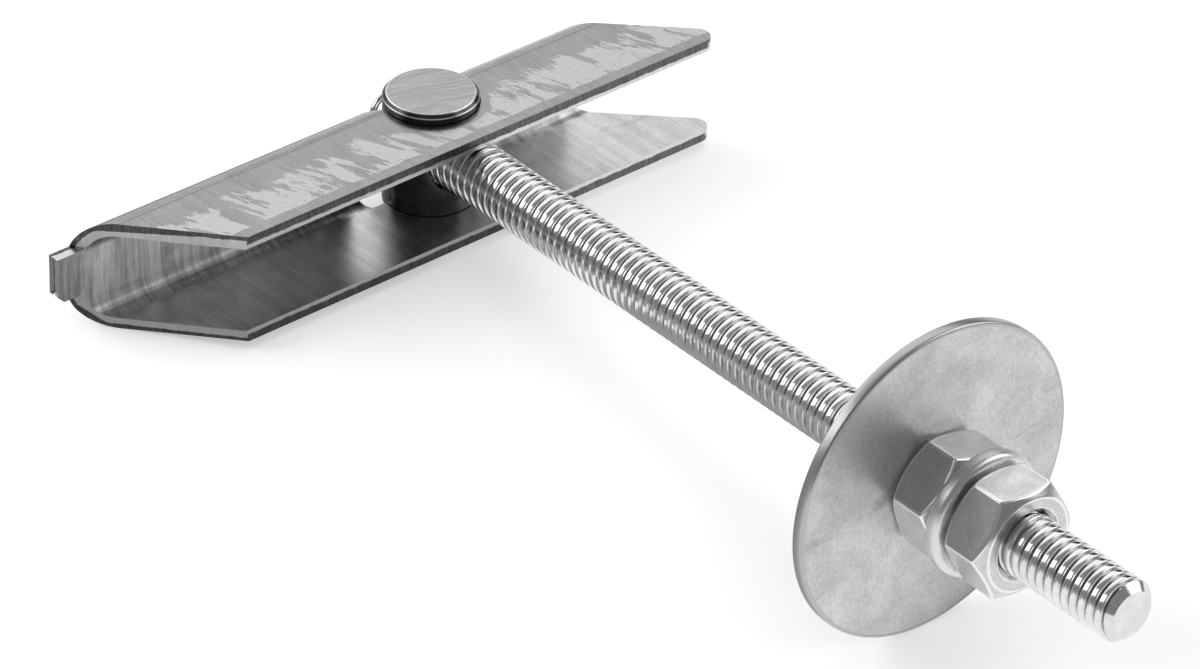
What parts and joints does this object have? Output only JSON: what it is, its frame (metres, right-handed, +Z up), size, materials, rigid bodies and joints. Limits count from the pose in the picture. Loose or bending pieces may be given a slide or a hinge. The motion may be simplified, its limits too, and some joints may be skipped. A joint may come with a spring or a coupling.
{
  "type": "toggle bolt",
  "caption": "Cavity toggle bolt: a folded sheet toggle swings on a cross barrel at one end of a threaded rod, with a large washer, a small washer and hexagon nuts at the other.",
  "frame": {"origin": "on the floor under the centre of the bounding box, with the bolt lying as it comes to rest on the toggle's lower back bend and the large washer's rim", "axes": "+X from the toggle towards the nuts, in the vertical plane of the rod, +Y towards the toggle's light end, +Z up"},
  "size_m": [0.0998, 0.069, 0.0299],
  "materials": {
    "galvanised_sheet": "galvanised cold-rolled sheet, sheared edges",
    "turned_steel": "turned and zinc-plated, fine grain on the end face",
    "bright_zinc": "bright zinc on a rolled thread",
    "dull_zinc": "dull zinc with cloudy marks",
    "nut_zinc": "bright zinc, fine scuffs",
    "ring_zinc": "zinc, tumbled rim"
  },
  "bodies": {
    "rod": {"threaded_rod": "bright_zinc", "barrel_nut": "turned_steel"},
    "toggle": {"toggle_channel": "galvanised_sheet"},
    "washer": {"large_washer": "dull_zinc"},
    "lock_nut": {"inner_nut": "nut_zinc"},
    "ring": {"small_washer": "ring_zinc"},
    "end_nut": {"outer_nut": "nut_zinc"}
  },
  "joints": [
    {"name": "toggle_fold", "type": "hinge", "parent": "rod", "child": "toggle", "pos_m": [-0.0432, 0.00612, 0.0069], "axis": [-0.1173, -0.0037, 0.9931], "range_deg": [-91.8, 8.2]},
    {"name": "washer_slide", "type": "slide", "parent": "rod", "child": "washer", "axis": [-0.9931, 0, -0.1173], "range_m": [0, 0.036]},
    {"name": "lock_nut_turn", "type": "hinge", "parent": "washer", "child": "lock_nut", "pos_m": [0.02572, 0.00612, 0.01504], "axis": [-0.9931, 0, -0.1173], "range_deg": [0, 12960]},
    {"name": "ring_slide", "type": "slide", "parent": "rod", "child": "ring", "axis": [0.9931, 0, 0.1173], "range_m": [0, 0.012]},
    {"name": "end_nut_turn", "type": "hinge", "parent": "ring", "child": "end_nut", "pos_m": [0.03228, 0.00612, 0.01581], "axis": [0.9931, 0, 0.1173], "range_deg": [0, 4320]}
  ],
  "couplings": [
    {"joint": "lock_nut_turn", "follows": "washer_slide", "rad_per_m": 6283.2},
    {"joint": "end_nut_turn", "follows": "ring_slide", "rad_per_m": 6283.2}
  ]
}
